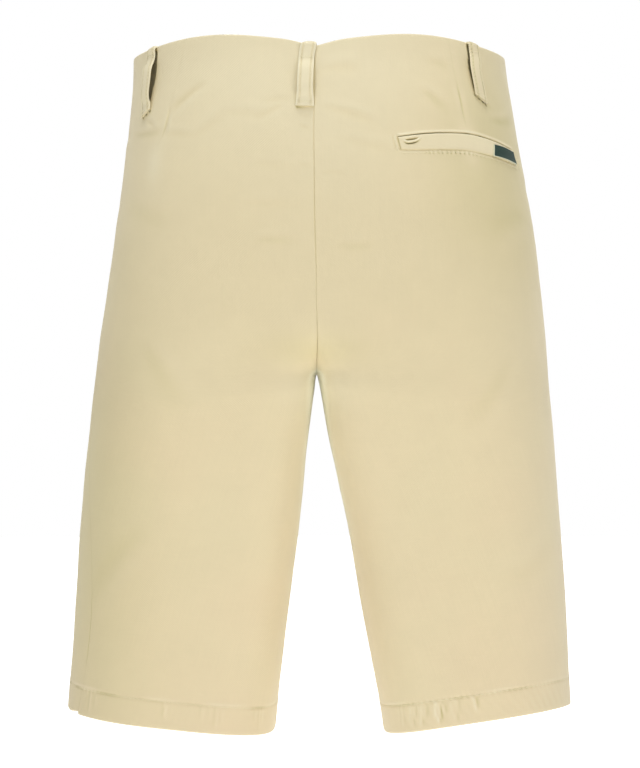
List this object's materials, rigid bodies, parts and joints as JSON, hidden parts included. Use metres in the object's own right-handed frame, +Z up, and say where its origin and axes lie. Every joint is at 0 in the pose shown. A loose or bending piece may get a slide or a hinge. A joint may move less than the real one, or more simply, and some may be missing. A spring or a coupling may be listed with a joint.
{
  "type": "bermuda shorts",
  "caption": "Knee-length bermuda shorts in plain cotton twill, filled out as worn, open at the waist and both hems, with belt loops, a fly and a welt pocket behind.",
  "frame": {"origin": "middle of the waist opening, 3 mm above the tops of the side seams, where the wearer holds the shorts", "axes": "+Z up along the body, +Y towards the front of the wearer, +X towards the wearer's right"},
  "size_m": [0.3891, 0.2549, 0.5279],
  "materials": {
    "twill": "matt sand-coloured cotton twill",
    "woven_tab": "plain dark green woven tape",
    "horn": "polished horn-coloured button"
  },
  "bodies": {
    "root": {"back_left": "twill", "back_right": "twill", "front_left": "twill", "front_right": "twill", "belt_loop_centre_back": "twill", "belt_loop_left_back": "twill", "belt_loop_right_back": "twill", "belt_loop_left_front": "twill", "belt_loop_right_front": "twill", "pocket_welt": "twill", "fly_shield": "twill", "pocket_tab": "woven_tab", "waist_button": "horn"}
  },
  "joints": []
}
